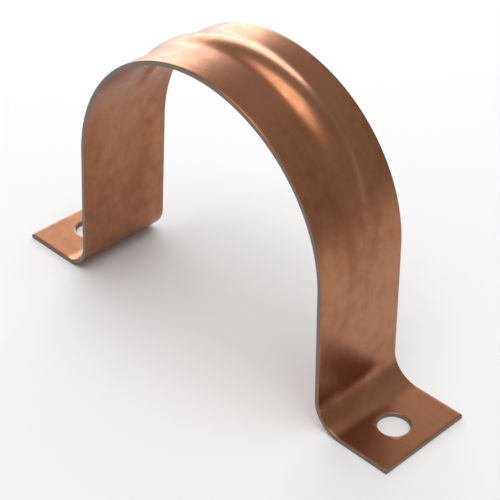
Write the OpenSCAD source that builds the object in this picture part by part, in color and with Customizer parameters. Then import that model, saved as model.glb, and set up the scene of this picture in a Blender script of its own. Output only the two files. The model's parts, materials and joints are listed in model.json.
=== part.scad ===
// Two-hole strap for a round tube: one strip of copper-coated steel sheet, bent
// over the tube and drawn down to the wall by a screw in each foot. A bead
// pressed outwards along the arch stiffens it, with a groove of the same form
// behind it, so that the sheet keeps its thickness there.
// The tube runs along Y, the wall is the plane Z = 0, and X = 0 is midway
// between the two feet. All sizes are in millimetres and degrees.

/* [Tube] */
// Outside diameter of the tube
tube_d = 54; // [40:0.5:80]
// Gap between the tube and the arch
tube_gap = 0.4; // [0.1:0.1:1]

/* [Strip] */
// Width of the strip, along the tube
strip_w = 19; // [16:0.5:30]
// Thickness of the sheet
sheet_t = 0.8; // [0.5:0.05:1]

/* [Legs and feet] */
// Height of the arch's centre above the wall
arch_z = 25.4; // [22:0.1:40]
// Angle by which each leg leans outwards, from the wall's normal
leg_splay = 2.2; // [0:0.1:6]
// Radius on the hollow side of the bend between a leg and its foot
bend_r = 5; // [2:0.25:8]
// Length of flat foot from the bend to the middle of the hole
foot_to_hole = 3.65; // [3.6:0.05:10]
// Distance from the middle of the hole to the foot's free end
hole_to_end = 6.2; // [4:0.1:12]

/* [Screw holes] */
// Diameter of the screw holes
hole_d = 5.5; // [3:0.1:6.5]
// Distance of the holes from the strip's middle line, towards the front edge
hole_shift = 0.5; // [0:0.1:2]

/* [Bead] */
// Height of the bead above the arch
bead_h = 0.72; // [0.4:0.02:1.2]
// Radius of the bead's rounded crest, on the outside of the sheet
bead_crest_r = 5; // [3:0.1:6]
// Radius of the hollow at each foot of the bead, on the outside of the sheet
bead_toe_r = 3.5; // [2:0.1:5]
// Distance of the bead from the strip's middle line, towards the back edge
bead_shift = 1.4; // [0:0.1:2]
// Angle from the crown up to which the bead keeps its full height
bead_full_angle = 46; // [20:1:50]
// Angle from the crown at which the bead has run out into the arch
bead_end_angle = 69; // [60:1:80]

/* [Hidden] */
$fn = 180;

// Length by which cutting shapes run past the sheet, so that no faces coincide
cut_past = 1;
// Depth by which the bead's feet dip into the sheet, so that they cross its face
toe_dip = 0.05;
// Depth to which the bead's section goes on below the face it stands on
bead_root = 2;

// The arch's inner and outer radius, and a radius midway through its sheet
arch_in_r = tube_d / 2 + tube_gap;
arch_out_r = arch_in_r + sheet_t;
arch_mid_r = arch_in_r + sheet_t / 2;

// Length of the straight leg between the arch and the bend at its foot, such
// that the foot's underside lies on the wall
leg_len = (arch_z + (arch_out_r + bend_r) * sin(leg_splay) - sheet_t - bend_r) / cos(leg_splay);
// Centre of the bend on the +X side
bend_x = (arch_out_r + bend_r) * cos(leg_splay) + leg_len * sin(leg_splay);
bend_z = sheet_t + bend_r;
hole_x = bend_x + foot_to_hole;
foot_end_x = hole_x + hole_to_end;

// The bead's section is a crest arc between two toe arcs that meet it on the
// flanks. Its two faces have the same arc centres, a sheet's thickness apart.
bead_rise = bead_h + toe_dip;
bead_arcs_r = bead_crest_r + bead_toe_r;
bead_half_w = sqrt(bead_arcs_r ^ 2 - (bead_arcs_r - bead_rise) ^ 2);
flank_angle = acos(1 - bead_rise / bead_arcs_r);

// The bead's crest follows a circle about the arch's axis up to the full angle.
// From there it follows a smaller circle, about an axis that lies higher by the
// rise, and meets the arch's face at the end angle.
bead_out_r = arch_out_r + bead_h;
runout_rise = (bead_out_r ^ 2 - arch_out_r ^ 2)
    / (2 * (bead_out_r * cos(bead_full_angle) - arch_out_r * cos(bead_end_angle)));
runout_r = norm([bead_out_r * sin(bead_full_angle),
    bead_out_r * cos(bead_full_angle) - runout_rise]);
runout_drop = bead_out_r - runout_r;

// A point at this distance and angle from the origin
function polar(r, angle) = [r * cos(angle), r * sin(angle)];

// An outline's points on the +X side, from the top down, and the same points
// mirrored and taken back up on the -X side
function both_sides(points) = concat(points,
    [for (i = [len(points) - 1 : -1 : 0]) [-points[i].x, points[i].y]]);

// Everything on the tube's side of the sheet, seen along the tube: the round
// arch, and the space that widens from it down between the legs and their bends
module tube_side() {
    translate([0, arch_z])
        circle(arch_in_r);
    difference() {
        polygon(both_sides([
            [0, arch_z] + polar(arch_in_r, leg_splay),
            [bend_x, bend_z] - polar(bend_r + sheet_t, leg_splay),
            [bend_x, bend_z],
            [bend_x, 0],
            [bend_x, -arch_out_r]
        ]));
        bend_circles(bend_r + sheet_t);
    }
}

// Everything behind the strip's outer face, down to the wall
module outer_side() {
    translate([0, arch_z])
        circle(arch_out_r);
    difference() {
        polygon(both_sides([
            [0, arch_z] + polar(arch_out_r, leg_splay),
            [bend_x, bend_z] - polar(bend_r, leg_splay),
            [bend_x, bend_z],
            [bend_x, sheet_t],
            [foot_end_x, sheet_t],
            [foot_end_x, 0]
        ]));
        bend_circles(bend_r);
    }
}

// Circles of one radius about the centres of both bends
module bend_circles(r) {
    for (side = [-1, 1])
        translate([side * bend_x, bend_z])
            circle(r);
}

// The strip seen along the tube
module strip_outline() {
    difference() {
        outer_side();
        tube_side();
    }
}

// Section of the bead on a face of the given radius, drawn across the strip: X
// is the distance from the arch's axis, and Y runs along that axis
module bead_section(face_r, crest_r, toe_r) {
    base_r = face_r - bead_root;
    crest_x = face_r + bead_h - crest_r;
    toe_x = crest_x + bead_arcs_r - bead_rise;
    flank = [crest_x, 0] + polar(crest_r, flank_angle);
    difference() {
        intersection() {
            union() {
                translate([crest_x, 0])
                    circle(crest_r);
                polygon([
                    [base_r, -bead_half_w],
                    [toe_x, -bead_half_w],
                    [flank.x, -flank.y],
                    flank,
                    [toe_x, bead_half_w],
                    [base_r, bead_half_w]
                ]);
            }
            translate([base_r, -bead_half_w])
                square(2 * bead_half_w);
        }
        for (side = [-1, 1])
            translate([toe_x, side * bead_half_w])
                circle(toe_r);
    }
}

// The bead over its whole length, on a face of the given radius. One ring about
// the arch's axis gives its full height, and one about a higher axis cuts that
// down towards both ends.
module bead(face_r, crest_r, toe_r) {
    translate([0, bead_shift, arch_z])
        rotate([90, 0, 0])
            intersection() {
                rotate_extrude()
                    bead_section(face_r, crest_r, toe_r);
                translate([0, runout_rise, 0])
                    rotate_extrude()
                        translate([-runout_drop, 0])
                            bead_section(face_r, crest_r, toe_r);
            }
}

// A cylinder along Y through the arch
module arch_core(r) {
    translate([0, 0, arch_z])
        rotate([90, 0, 0])
            cylinder(r = r, h = strip_w + 2 * cut_past, center = true);
}

// The holes for the screws, one through each foot
module screw_holes() {
    for (side = [-1, 1])
        translate([side * hole_x, -hole_shift, -cut_past])
            cylinder(d = hole_d, h = sheet_t + 2 * cut_past);
}

// The whole strap: the bent strip with its bead, groove and holes
module strap() {
    color([0.62, 0.39, 0.27])
        difference() {
            union() {
                rotate([90, 0, 0])
                    linear_extrude(strip_w, center = true)
                        strip_outline();
                difference() {
                    bead(arch_out_r, bead_crest_r, bead_toe_r);
                    arch_core(arch_mid_r);
                }
            }
            bead(arch_in_r, bead_crest_r - sheet_t, bead_toe_r + sheet_t);
            screw_holes();
        }
}

strap();
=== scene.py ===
"""Dresses a two-hole pipe strap: one strip of copper-coated steel sheet, pressed, punched and bent round a tube.

The strip is made the way a press shop makes it. It starts flat, gets its two screw holes, its bead and its sheared
edges, and is then bent at both feet and round the tube. Its finish is laid out on the flat sheet, so that rolling
marks, scratches and the bare cut edges follow every bend.
"""

import json
import math

import bpy
import numpy as np
from bpy.props import FloatProperty, FloatVectorProperty, PointerProperty
from mathutils import Matrix, Vector


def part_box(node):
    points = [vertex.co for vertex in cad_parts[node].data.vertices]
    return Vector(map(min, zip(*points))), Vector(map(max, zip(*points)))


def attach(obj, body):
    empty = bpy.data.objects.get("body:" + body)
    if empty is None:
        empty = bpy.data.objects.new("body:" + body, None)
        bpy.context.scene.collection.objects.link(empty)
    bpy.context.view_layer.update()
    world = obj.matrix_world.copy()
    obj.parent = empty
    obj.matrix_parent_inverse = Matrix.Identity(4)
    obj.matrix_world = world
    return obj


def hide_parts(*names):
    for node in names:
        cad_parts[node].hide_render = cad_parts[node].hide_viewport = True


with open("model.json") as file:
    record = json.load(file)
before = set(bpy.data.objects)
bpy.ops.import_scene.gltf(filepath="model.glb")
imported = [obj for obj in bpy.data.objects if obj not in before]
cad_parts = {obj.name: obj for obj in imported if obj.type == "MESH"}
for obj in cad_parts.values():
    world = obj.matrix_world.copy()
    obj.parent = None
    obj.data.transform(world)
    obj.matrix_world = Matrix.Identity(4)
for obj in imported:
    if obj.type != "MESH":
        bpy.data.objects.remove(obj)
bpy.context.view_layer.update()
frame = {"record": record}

bl_info = {
    "name": "Two-hole pipe strap",
    "version": (1, 0, 0),
    "blender": (4, 5, 0),
    "location": "3D View > Sidebar > Strap",
    "description": "Presses, bends and finishes a copper-coated steel strap and lights it on a pale table",
    "category": "Object",
}

MM = 0.001
NODE = "strap"
PIECE = "copper_coated_strap"

# Rooms within which places on the mesh count as the same, on straight lines and on the cut edges
TINY = 1e-6
RIM_ROOM = 2e-5

# Length of the sheet's slight waves, and of the table's sides
WAVE_LENGTH = 22 * MM
TABLE_SIDE = 3.0

# The camera's direction from the strap, the point that it looks at, its distance and its lens
CAMERA_AZIMUTH = 0.7650
CAMERA_RISE = 0.6309
CAMERA_ROLL = 0.0282
CAMERA_TARGET = Vector((-0.000523, 0.004491, 0.013059))
CAMERA_DISTANCE = 0.27330
CAMERA_LENS = 113.91


def mount(name):
    """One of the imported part's mounts, which say where its seat and its holes are."""
    return next(m for m in frame["record"]["mounts"] if m["name"] == name)


SEAT = mount("tube_seat")
HOLES = mount("screw_holes")
CAD_LOW, CAD_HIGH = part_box(NODE)


class StrapSizes(bpy.types.PropertyGroup):
    """Sizes of the strip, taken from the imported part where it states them."""

    width: FloatProperty(
        name="Width", description="Width of the strip, along the tube",
        default=CAD_HIGH.y - CAD_LOW.y, unit="LENGTH", subtype="DISTANCE",
    )
    sheet: FloatProperty(
        name="Sheet", description="Thickness of the sheet",
        default=HOLES["pos_m"][2], unit="LENGTH", subtype="DISTANCE",
    )
    arch_radius: FloatProperty(
        name="Arch radius", description="Radius of the arch on the tube's side",
        default=SEAT["dims"]["r_mm"] * MM, unit="LENGTH", subtype="DISTANCE",
    )
    arch_height: FloatProperty(
        name="Arch height", description="Height of the arch's centre above the wall",
        default=SEAT["pos_m"][2], unit="LENGTH", subtype="DISTANCE",
    )
    lean: FloatProperty(
        name="Lean", description="Angle by which each leg leans outwards",
        default=math.radians(2.2), subtype="ANGLE",
    )
    bend_radius: FloatProperty(
        name="Bend radius", description="Radius on the hollow side of the bend above each foot",
        default=5 * MM, unit="LENGTH", subtype="DISTANCE",
    )
    foot_reach: FloatProperty(
        name="Foot reach", description="Distance from the strap's middle to a foot's free end",
        default=CAD_HIGH.x, unit="LENGTH", subtype="DISTANCE",
    )
    hole_reach: FloatProperty(
        name="Hole reach", description="Distance from the strap's middle to a screw hole's centre",
        default=HOLES["dims"]["spacing_x_mm"] * MM / 2, unit="LENGTH", subtype="DISTANCE",
    )
    hole_radius: FloatProperty(
        name="Hole radius", description="Radius of the screw holes",
        default=HOLES["dims"]["hole_r_mm"] * MM, unit="LENGTH", subtype="DISTANCE",
    )
    hole_y: FloatProperty(
        name="Hole place", description="Place of the holes across the strip",
        default=HOLES["pos_m"][1], unit="LENGTH", subtype="DISTANCE",
    )
    bead_height: FloatProperty(
        name="Bead height", description="Height of the bead above the arch",
        default=0.72 * MM, unit="LENGTH", subtype="DISTANCE",
    )
    bead_crest: FloatProperty(
        name="Bead crest", description="Radius of the bead's crest on the outside of the sheet",
        default=5 * MM, unit="LENGTH", subtype="DISTANCE",
    )
    bead_toe: FloatProperty(
        name="Bead toe", description="Radius of the hollow at each foot of the bead, on the outside of the sheet",
        default=3.5 * MM, unit="LENGTH", subtype="DISTANCE",
    )
    bead_y: FloatProperty(
        name="Bead place", description="Place of the bead across the strip",
        default=1.4 * MM, unit="LENGTH", subtype="DISTANCE",
    )
    bead_full: FloatProperty(
        name="Bead full to", description="Angle from the crown up to which the bead keeps its height",
        default=math.radians(46), subtype="ANGLE",
    )
    bead_end: FloatProperty(
        name="Bead ends at", description="Angle from the crown at which the bead has run out",
        default=math.radians(69), subtype="ANGLE",
    )
    roll_over: FloatProperty(
        name="Roll-over", description="Rounding that the shear leaves on the outer side of a cut edge",
        default=0.14 * MM, unit="LENGTH", subtype="DISTANCE",
    )
    break_edge: FloatProperty(
        name="Broken edge", description="Rounding of a cut edge on the tube's side",
        default=0.06 * MM, unit="LENGTH", subtype="DISTANCE",
    )
    waviness: FloatProperty(
        name="Waviness", description="Height of the sheet's slight unevenness",
        default=0.05 * MM, unit="LENGTH", subtype="DISTANCE",
    )
    pitch: FloatProperty(
        name="Pitch", description="Length of the sheet's mesh faces",
        default=0.5 * MM, unit="LENGTH", subtype="DISTANCE",
    )


class StrapFinish(bpy.types.PropertyGroup):
    """Colours of the strap's surfaces."""

    copper: FloatVectorProperty(
        name="Copper", description="Colour of the satin copper coat",
        default=(0.40, 0.18, 0.09), subtype="COLOR",
    )
    tarnish: FloatVectorProperty(
        name="Tarnish", description="Colour of the coat where it has darkened",
        default=(0.27, 0.10, 0.045), subtype="COLOR",
    )
    speck: FloatVectorProperty(
        name="Specks", description="Colour of the small spots of oxide",
        default=(0.07, 0.03, 0.02), subtype="COLOR",
    )
    steel: FloatVectorProperty(
        name="Cut edge", description="Colour of the bare steel on the cut edges",
        default=(0.20, 0.175, 0.16), subtype="COLOR",
    )


class StageLook(bpy.types.PropertyGroup):
    """Colour of the table and strength of the lights."""

    table: FloatVectorProperty(
        name="Table", description="Colour of the pale table",
        default=(0.88, 0.88, 0.88), subtype="COLOR",
    )
    room: FloatProperty(
        name="Room", description="Brightness of the room round the table", default=0.42,
    )
    top_light: FloatProperty(
        name="Top light", description="Power of the large soft light overhead",
        default=3.2, unit="POWER",
    )
    back_card: FloatProperty(
        name="Back card", description="Power of the bright card behind the strap on the left",
        default=1.6, unit="POWER",
    )


class Value:
    """A socket that a material's maths is written with: each sign adds the Math node that it stands for."""

    def __init__(self, finish, socket):
        self.finish = finish
        self.socket = socket

    def calculate(self, operation, *others):
        return self.finish.add("ShaderNodeMath", {"operation": operation}, dict(enumerate((self, *others))))

    def __add__(self, other):
        return self.calculate("ADD", other)

    def __radd__(self, other):
        return self.calculate("ADD", other)

    def __sub__(self, other):
        return self.calculate("SUBTRACT", other)

    def __rsub__(self, other):
        return self.calculate("MULTIPLY_ADD", -1.0, other)

    def __mul__(self, other):
        return self.calculate("MULTIPLY", other)

    def __rmul__(self, other):
        return self.calculate("MULTIPLY", other)

    def __truediv__(self, other):
        return self.calculate("DIVIDE", other)

    def __abs__(self):
        return self.calculate("ABSOLUTE")

    def lower(self, other):
        return self.calculate("MINIMUM", other)

    def higher(self, other):
        return self.calculate("MAXIMUM", other)

    def to(self, power):
        return self.calculate("POWER", power)

    def step(self, start, end):
        """A smooth step from 0 where the value is start to 1 where it is end."""
        settings = {"interpolation_type": "SMOOTHSTEP"}
        return self.finish.add("ShaderNodeMapRange", settings, {"Value": self, "From Min": start, "From Max": end})


class Finish:
    """A material and its nodes."""

    def __init__(self, name):
        self.material = bpy.data.materials.new(name)
        self.material.use_nodes = True
        self.tree = self.material.node_tree
        self.tree.nodes.clear()

    def add(self, kind, settings=None, sockets=None, output=0):
        """Adds a node of any type, with its settings first and then its sockets' values or links."""
        node = self.tree.nodes.new(kind)
        for name, value in (settings or {}).items():
            setattr(node, name, value)
        for name, value in (sockets or {}).items():
            if isinstance(value, Value):
                self.tree.links.new(value.socket, node.inputs[name])
            else:
                node.inputs[name].default_value = value
        return Value(self, node.outputs[output]) if node.outputs else None

    def noise(self, place, scale, detail=3.0, roughness=0.5, distortion=0.0):
        sockets = {
            "Vector": place, "Scale": scale, "Detail": detail, "Roughness": roughness, "Distortion": distortion,
        }
        return self.add("ShaderNodeTexNoise", None, sockets)

    def split(self, vector):
        """The three parts of a vector or colour."""
        first = self.add("ShaderNodeSeparateXYZ", None, {"Vector": vector})
        return [Value(self, output) for output in first.socket.node.outputs]

    def grey(self, value):
        return self.add("ShaderNodeCombineColor", None, {"Red": value, "Green": value, "Blue": value})

    def placed(self, vector, scale=(1, 1, 1), turn=(0, 0, 0), shift=(0, 0, 0)):
        return self.add(
            "ShaderNodeMapping", None, {"Vector": vector, "Scale": scale, "Rotation": turn, "Location": shift}
        )

    def mix(self, factor, first, second, blend="MIX"):
        settings = {"data_type": "RGBA", "blend_type": blend}
        return self.add("ShaderNodeMix", settings, {0: factor, 6: first, 7: second}, output=2)


def colour(values):
    return (*values, 1)


class Layout:
    """Lengths of the flat strip from its middle outwards, before it is bent."""

    def __init__(self, sizes):
        s = sizes
        self.turn = math.pi / 2 - s.lean
        self.arch_mid = s.arch_radius + s.sheet / 2
        arch_out = s.arch_radius + s.sheet
        rise = s.arch_height + (arch_out + s.bend_radius) * math.sin(s.lean) - s.sheet - s.bend_radius
        self.leg = rise / math.cos(s.lean)
        bend_x = (arch_out + s.bend_radius) * math.cos(s.lean) + self.leg * math.sin(s.lean)
        self.half_arch = self.arch_mid * self.turn
        self.bend = (s.bend_radius + s.sheet / 2) * self.turn
        self.foot = s.foot_reach - bend_x
        self.bend_start = self.half_arch + self.leg
        self.foot_start = self.bend_start + self.bend
        self.half_length = self.foot_start + self.foot
        self.hole_x = self.foot_start + s.hole_reach - bend_x


def activate(piece):
    """Selects one piece alone and makes it the active one."""
    bpy.ops.object.select_all(action="DESELECT")
    piece.select_set(True)
    bpy.context.view_layer.objects.active = piece


def pick_edges(piece, test):
    """Opens edit mode with those edges selected for which the test, given their middles and spans, is true."""
    bpy.ops.object.mode_set(mode="OBJECT")
    mesh = piece.data
    points = np.empty(len(mesh.vertices) * 3)
    mesh.vertices.foreach_get("co", points)
    ends = np.empty(len(mesh.edges) * 2, int)
    mesh.edges.foreach_get("vertices", ends)
    ends = points.reshape(-1, 3)[ends].reshape(-1, 2, 3)
    choose(mesh, mesh.edges, test(ends.mean(axis=1), np.ptp(ends, axis=1)))
    bpy.context.tool_settings.mesh_select_mode = (False, True, False)
    bpy.ops.object.mode_set(mode="EDIT")


def pick_faces(piece, test):
    """Opens edit mode with those faces selected for which the test, given their middles, is true."""
    bpy.ops.object.mode_set(mode="OBJECT")
    mesh = piece.data
    middles = np.empty(len(mesh.polygons) * 3)
    mesh.polygons.foreach_get("center", middles)
    choose(mesh, mesh.polygons, test(middles.reshape(-1, 3)))
    bpy.context.tool_settings.mesh_select_mode = (False, False, True)
    bpy.ops.object.mode_set(mode="EDIT")


def choose(mesh, elements, chosen):
    for group in (mesh.vertices, mesh.edges, mesh.polygons):
        group.foreach_set("select", np.zeros(len(group), bool))
    elements.foreach_set("select", chosen)


def near(values, target, room=TINY):
    return np.abs(values - target) < room


def between(values, low, high):
    return (values > low) & (values < high)


def apply_modifier(piece, kind, **settings):
    """Adds a modifier to the piece, sets it and applies it."""
    activate(piece)
    modifier = piece.modifiers.new(kind.lower(), kind)
    for name, value in settings.items():
        setattr(modifier, name, value)
    bpy.ops.object.modifier_apply(modifier=modifier.name)


def cut_blank(sizes, layout):
    """The flat strip's middle surface, with its mesh lined up with the bends to come."""
    bpy.ops.object.select_all(action="DESELECT")
    bpy.ops.mesh.primitive_plane_add(size=1)
    piece = bpy.context.object
    piece.name = piece.data.name = PIECE
    bpy.ops.object.mode_set(mode="EDIT")
    bpy.ops.transform.resize(value=(2 * layout.half_arch, sizes.width, 1))
    spans = [(-layout.half_arch, layout.half_arch)]
    for side in (1, -1):
        end = side * layout.half_arch
        for length in (layout.leg, layout.bend, layout.foot):
            pick_edges(piece, lambda middle, span: near(middle[:, 0], end) & near(span[:, 0], 0))
            bpy.ops.mesh.extrude_region_move(TRANSFORM_OT_translate={"value": (side * length, 0, 0)})
            spans.append(tuple(sorted((end, end + side * length))))
            end += side * length
    for low, high in spans:
        pick_edges(piece, lambda middle, span: near(span[:, 1], 0) & between(middle[:, 0], low, high))
        bpy.ops.mesh.subdivide(number_cuts=math.ceil((high - low) / sizes.pitch) - 1)
    pick_edges(piece, lambda middle, span: near(span[:, 0], 0))
    bpy.ops.mesh.subdivide(number_cuts=round(sizes.width / sizes.pitch) - 1)
    bpy.ops.object.mode_set(mode="OBJECT")
    return piece


def punch_hole(piece, sizes, hole_x):
    """Opens a round screw hole, with rings of faces that lead from the strip's mesh to its rim."""
    centre = Vector((hole_x, sizes.hole_y, 0))
    apart = sizes.hole_radius + sizes.pitch
    open_x = window(piece, 0, centre.x, apart)
    open_y = window(piece, 1, centre.y, apart)
    pick_faces(piece, lambda middle: between(middle[:, 0], *open_x) & between(middle[:, 1], *open_y))
    bpy.ops.mesh.delete(type="FACE")

    def on_frame(middle):
        across = (near(middle[:, 0], open_x[0]) | near(middle[:, 0], open_x[1])) & between(middle[:, 1], *open_y)
        along = (near(middle[:, 1], open_y[0]) | near(middle[:, 1], open_y[1])) & between(middle[:, 0], *open_x)
        return across | along

    pick_edges(piece, lambda middle, span: on_frame(middle))
    bpy.ops.mesh.extrude_region_move()
    bpy.ops.transform.tosphere(value=1, center_override=centre)
    bpy.ops.object.mode_set(mode="OBJECT")
    reach = np.mean([(vertex.co - centre).length for vertex in piece.data.vertices if vertex.select])
    bpy.ops.object.mode_set(mode="EDIT")
    share = sizes.hole_radius / reach
    bpy.ops.transform.resize(value=(share, share, 1), center_override=centre)

    def spokes(middle, span):
        inside = between(middle[:, 0], *open_x) & between(middle[:, 1], *open_y)
        off_rim = np.hypot(middle[:, 0] - centre.x, middle[:, 1] - centre.y) > sizes.hole_radius + TINY
        return inside & off_rim & ~on_frame(middle)

    pick_edges(piece, spokes)
    bpy.ops.mesh.subdivide(number_cuts=1)
    bpy.ops.object.mode_set(mode="OBJECT")


def window(piece, axis, middle, reach):
    """The mesh lines on both sides of a hole that lie just beyond its reach."""
    lines = np.unique(np.round([v.co[axis] for v in piece.data.vertices], 9))
    return lines[lines < middle - reach][-1], lines[lines > middle + reach][0]


def raise_bead(piece, sizes, layout):
    """Presses the bead into the flat sheet's arch, with its run-outs at both ends."""
    crest = sizes.bead_crest - sizes.sheet / 2
    toe = sizes.bead_toe + sizes.sheet / 2
    group = piece.vertex_groups.new(name="bead")
    for vertex in piece.data.vertices:
        height = bead_profile(abs(vertex.co.y - sizes.bead_y), sizes.bead_height, crest, toe)
        height -= bead_drop(abs(vertex.co.x) / layout.arch_mid, sizes)
        if height > 0:
            group.add([vertex.index], height / sizes.bead_height, "REPLACE")
    apply_modifier(
        piece, "DISPLACE", vertex_group="bead", direction="Z", mid_level=0, strength=sizes.bead_height,
    )
    piece.vertex_groups.clear()


def bead_profile(off, height, crest, toe):
    """Height of the bead's section at a distance off its middle: a crest arc between two toe arcs."""
    arcs = crest + toe
    flank = math.acos(1 - height / arcs)
    if off < crest * math.sin(flank):
        return height - crest + math.sqrt(crest ** 2 - off ** 2)
    half_width = arcs * math.sin(flank)
    if off < half_width:
        return toe - math.sqrt(toe ** 2 - (half_width - off) ** 2)
    return 0


def bead_drop(angle, sizes):
    """How far the bead's crest has come down at an angle from the crown, on the circle that it runs out on."""
    face = sizes.arch_radius + sizes.sheet
    top = face + sizes.bead_height
    if angle < sizes.bead_full:
        return 0
    lift = (top ** 2 - face ** 2) / (2 * (top * math.cos(sizes.bead_full) - face * math.cos(sizes.bead_end)))
    radius = math.hypot(top * math.sin(sizes.bead_full), top * math.cos(sizes.bead_full) - lift)
    return top - lift * math.cos(angle) - math.sqrt(radius ** 2 - (lift * math.sin(angle)) ** 2)


def thicken(piece, sizes, layout):
    """Gives the sheet its thickness and rounds its cut edges, more on the side that the shear came from."""
    apply_modifier(
        piece, "SOLIDIFY", thickness=sizes.sheet, offset=0, use_even_offset=True, use_quality_normals=True,
    )
    for side, rounding in ((1, sizes.roll_over), (-1, sizes.break_edge)):
        face = side * sizes.sheet / 2

        def on_rim(middle, span):
            return near(middle[:, 2], face) & near(cut_distance(middle, sizes, layout), 0, RIM_ROOM)

        pick_edges(piece, on_rim)
        bpy.ops.mesh.bevel(offset=rounding, segments=3, affect="EDGES")
    bpy.ops.object.mode_set(mode="OBJECT")


def cut_distance(points, sizes, layout):
    """Distance of points on the flat strip from its nearest cut edge."""
    x, y = np.abs(points[:, 0]), points[:, 1]
    to_hole = np.abs(np.hypot(x - layout.hole_x, y - sizes.hole_y) - sizes.hole_radius)
    return np.minimum(np.minimum(sizes.width / 2 - np.abs(y), layout.half_length - x), to_hole)


def lay_out_finish(piece):
    """Keeps each point's place on the flat sheet, in millimetres, for the material's patterns."""
    mesh = piece.data
    points = np.empty(len(mesh.vertices) * 3)
    mesh.vertices.foreach_get("co", points)
    flat = mesh.attributes.new("flat", "FLOAT_VECTOR", "POINT")
    flat.data.foreach_set("vector", (points / MM).astype(np.float32))


def make_uneven(piece, sizes):
    """The slight waves that handling leaves in thin sheet."""
    waves = bpy.data.textures.new("waves", "CLOUDS")
    waves.noise_scale = WAVE_LENGTH
    waves.noise_depth = 1
    apply_modifier(
        piece, "DISPLACE", texture=waves, texture_coords="LOCAL", direction="Z", mid_level=0.5,
        strength=sizes.waviness,
    )
    bpy.data.textures.remove(waves)


def bend(piece, fixed, stretch, turn):
    """Bends a stretch of the strip about an axis across it. The strip stays put where it is fixed."""
    axis = bpy.data.objects.new("bend_axis", None)
    bpy.context.scene.collection.objects.link(axis)
    axis.location.x = fixed
    axis.rotation_euler.x = -math.pi / 2
    bpy.context.view_layer.update()
    places = [vertex.co.x for vertex in piece.data.vertices]
    low, high = min(places), max(places)
    limits = [(place - low) / (high - low) for place in sorted(stretch)]
    apply_modifier(
        piece, "SIMPLE_DEFORM", deform_method="BEND", deform_axis="Z", origin=axis, angle=turn, limits=limits,
    )
    bpy.data.objects.remove(axis)


def raise_to_height(piece, height):
    """Lifts the strip so that its feet stand on the wall's plane."""
    bpy.ops.object.mode_set(mode="EDIT")
    bpy.ops.mesh.select_all(action="SELECT")
    bpy.ops.transform.translate(value=(0, 0, height))
    bpy.ops.object.mode_set(mode="OBJECT")


def smooth(piece):
    """Smooth shading that stays flat on the broad faces beside the rounded edges."""
    activate(piece)
    bpy.ops.object.shade_smooth()
    apply_modifier(piece, "WEIGHTED_NORMAL", keep_sharp=True)


class STRAP_OT_make_strip(bpy.types.Operator):
    """Cuts, punches, presses and bends the strip, and gives it its finish"""

    bl_idname = "strap.make_strip"
    bl_label = "Make the strip"

    def execute(self, context):
        sizes = context.scene.strap_sizes
        layout = Layout(sizes)
        piece = cut_blank(sizes, layout)
        for side in (1, -1):
            punch_hole(piece, sizes, side * layout.hole_x)
        raise_bead(piece, sizes, layout)
        thicken(piece, sizes, layout)
        lay_out_finish(piece)
        make_uneven(piece, sizes)
        for side in (1, -1):
            start = side * layout.bend_start
            bend(piece, start, (start, start + side * layout.bend), -layout.turn)
        bend(piece, 0, (-layout.half_arch, layout.half_arch), 2 * layout.turn)
        raise_to_height(piece, sizes.arch_height + layout.arch_mid)
        smooth(piece)
        piece.data.materials.append(copper_coat(context.scene.strap_finish, sizes, layout))
        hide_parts(NODE)
        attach(piece, "root")
        return {"FINISHED"}


def copper_coat(look, sizes, layout):
    """Satin copper on steel sheet: tarnish, rolling marks, stains, specks, scratches and bare cut edges."""
    f = Finish("copper_coated_steel")
    flat = f.add("ShaderNodeAttribute", {"attribute_name": "flat"}, output=1)
    x, y, z = f.split(flat)

    from_edge = cut_edge_distance(f, x, y, sizes, layout)
    tarnish = f.noise(f.placed(flat, scale=(0.5, 1, 1)), 0.085, detail=4, roughness=0.6)
    blotches = f.noise(f.placed(flat, shift=(40, 7, 0)), 0.42, detail=3, roughness=0.55)
    streaks = f.noise(f.placed(flat, scale=(0.03, 1, 1)), 1.5, detail=4, roughness=0.65)
    grain = f.noise(f.placed(flat, scale=(0.05, 1, 1)), 7.0, detail=2)
    darkened = (tarnish * 0.7 + blotches * 0.3).step(0.40, 0.66)

    specks = spots(f, flat)
    scratches = scratch_marks(f, flat)
    base = f.mix(darkened * 0.75, colour(look.copper), colour(look.tarnish))
    base = f.mix(1.0, base, f.grey(streaks * 0.22 + 0.89), blend="MULTIPLY")
    base = f.mix(specks * 0.85, base, colour(look.speck))

    wall = 1 - from_edge.step(0.03, 0.11)
    smear = (z / (sizes.sheet / MM) + streaks * 0.3).step(0.42, 0.62)
    bare = wall * (1 - smear * 0.75)
    base = f.mix(bare, base, colour(look.steel))

    rough = 0.25 + darkened * 0.10 + blotches * 0.06 + specks * 0.3 - scratches * 0.06
    rough = rough * (1 - bare) + bare * 0.42
    metallic = 1 - specks * 0.8
    height = streaks * 0.0016 + grain * 0.0006 + blotches * 0.012 - scratches * 0.002 - specks * 0.004
    bump = f.add("ShaderNodeBump", None, {"Strength": 1.0, "Distance": MM, "Height": height})
    shader = f.add("ShaderNodeBsdfPrincipled", None, {
        "Base Color": base, "Metallic": metallic, "Roughness": rough, "Normal": bump,
    })
    f.add("ShaderNodeOutputMaterial", None, {"Surface": shader})
    return f.material


def cut_edge_distance(f, x, y, sizes, layout):
    """Distance from the nearest cut edge of the flat sheet, in millimetres."""
    to_side = sizes.width / MM / 2 - abs(y)
    to_end = layout.half_length / MM - abs(x)
    off_x = abs(x) - layout.hole_x / MM
    off_y = y - sizes.hole_y / MM
    to_hole = (off_x * off_x + off_y * off_y).to(0.5) - sizes.hole_radius / MM
    return to_side.lower(to_end).lower(to_hole)


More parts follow.
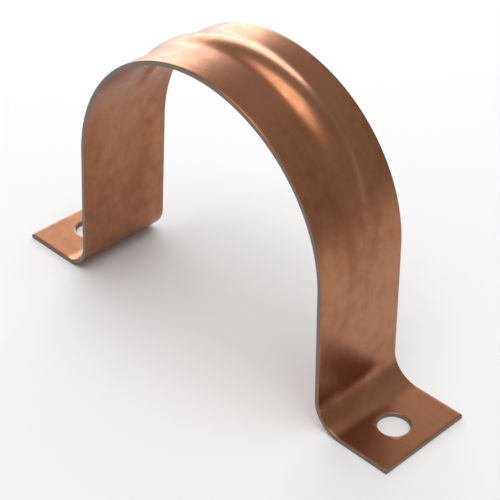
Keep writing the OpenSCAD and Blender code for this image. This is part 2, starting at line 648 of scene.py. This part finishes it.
def spots(f, flat):
    """Small, sparse, irregular spots of oxide."""
    wobble = f.noise(flat, 2.2, detail=2)
    cells = f.add("ShaderNodeTexVoronoi", None, {"Vector": flat, "Scale": 0.22})
    chance = f.split(Value(f, cells.socket.node.outputs["Color"]))
    size = (chance[0] - 0.45).higher(0) * 0.10
    return 1 - (cells + wobble * 0.03 - 0.015 - size).step(-0.012, 0.012)


def scratch_marks(f, flat):
    """Fine handling scratches: broken lines that cross the strip at a few slants."""
    marks = None
    for turn, seed in ((0.35, 3.0), (-0.6, 17.0), (1.2, 31.0)):
        lane = f.placed(flat, scale=(0.05, 0.8, 1), turn=(0, 0, turn), shift=(seed, seed, seed))
        line = 1 - abs(f.noise(lane, 0.9, detail=0) - 0.5).step(0.002, 0.012)
        part = f.noise(f.placed(flat, shift=(seed * 2, 0, 0)), 0.16, detail=1).step(0.56, 0.64)
        marks = line * part if marks is None else marks.higher(line * part)
    return marks


class STRAP_OT_lay_stage(bpy.types.Operator):
    """Lays the pale table, hangs the soft lights and sets up the camera"""

    bl_idname = "strap.lay_stage"
    bl_label = "Lay the stage"

    def execute(self, context):
        look = context.scene.strap_stage
        lay_table(look)
        light_room(look)
        soft_light("top_light", look.top_light, (0.62, 0.62), Vector((0.05, -0.10, 0.72)), Vector((0, 0, 0)))
        soft_light("back_card", look.back_card, (0.60, 0.26), Vector((-0.34, 0.30, 0.14)), Vector((0, 0, 0.04)))
        aim_camera()
        context.scene.view_settings.view_transform = "Standard"
        return {"FINISHED"}


def lay_table(look):
    bpy.ops.object.select_all(action="DESELECT")
    bpy.ops.mesh.primitive_plane_add(size=TABLE_SIDE)
    table = bpy.context.object
    table.name = table.data.name = "table"
    f = Finish("pale_table")
    shader = f.add("ShaderNodeBsdfPrincipled", None, {"Base Color": colour(look.table), "Roughness": 0.9})
    f.add("ShaderNodeOutputMaterial", None, {"Surface": shader})
    table.data.materials.append(f.material)


def light_room(look):
    world = bpy.data.worlds.new("room")
    bpy.context.scene.world = world
    world.use_nodes = True
    world.node_tree.nodes["Background"].inputs["Color"].default_value = (1, 1, 1, 1)
    world.node_tree.nodes["Background"].inputs["Strength"].default_value = look.room


def soft_light(name, power, size, place, target):
    """A flat, even light that faces a point."""
    turn = (place - target).to_track_quat("Z", "Y").to_euler()
    bpy.ops.object.light_add(type="AREA", location=place, rotation=turn)
    light = bpy.context.object
    light.name = light.data.name = name
    light.data.shape = "RECTANGLE"
    light.data.size, light.data.size_y = size
    light.data.energy = power


def aim_camera():
    """Looks at the strap from where the photograph was taken."""
    out = Vector((
        math.sin(CAMERA_AZIMUTH) * math.cos(CAMERA_RISE),
        -math.cos(CAMERA_AZIMUTH) * math.cos(CAMERA_RISE),
        math.sin(CAMERA_RISE),
    ))
    right = out.cross(Vector((0, 0, -1))).normalized()
    up = out.cross(right)
    turned_right = math.cos(CAMERA_ROLL) * right + math.sin(CAMERA_ROLL) * up
    turned_up = math.cos(CAMERA_ROLL) * up - math.sin(CAMERA_ROLL) * right
    turn = Matrix((turned_right, turned_up, out)).transposed().to_euler()
    bpy.ops.object.camera_add(location=CAMERA_TARGET + out * CAMERA_DISTANCE, rotation=turn)
    camera = bpy.context.object
    camera.data.lens = CAMERA_LENS
    camera.data.clip_start = 0.01
    bpy.context.scene.camera = camera


class VIEW3D_PT_strap(bpy.types.Panel):
    """Sizes, finish and steps of the strap"""

    bl_label = "Two-hole strap"
    bl_idname = "VIEW3D_PT_strap"
    bl_space_type = "VIEW_3D"
    bl_region_type = "UI"
    bl_category = "Strap"

    def draw(self, context):
        column = self.layout.column()
        for group in (context.scene.strap_sizes, context.scene.strap_finish, context.scene.strap_stage):
            for name in group.__annotations__:
                column.prop(group, name)
        for operator in (STRAP_OT_make_strip, STRAP_OT_lay_stage):
            column.operator(operator.bl_idname)


CLASSES = (StrapSizes, StrapFinish, StageLook, STRAP_OT_make_strip, STRAP_OT_lay_stage, VIEW3D_PT_strap)


def register():
    for item in CLASSES:
        bpy.utils.register_class(item)
    bpy.types.Scene.strap_sizes = PointerProperty(type=StrapSizes)
    bpy.types.Scene.strap_finish = PointerProperty(type=StrapFinish)
    bpy.types.Scene.strap_stage = PointerProperty(type=StageLook)


def unregister():
    del bpy.types.Scene.strap_sizes, bpy.types.Scene.strap_finish, bpy.types.Scene.strap_stage
    for item in reversed(CLASSES):
        bpy.utils.unregister_class(item)


def main():
    register()
    bpy.ops.strap.make_strip()
    bpy.ops.strap.lay_stage()


if __name__ == "__main__":
    main()
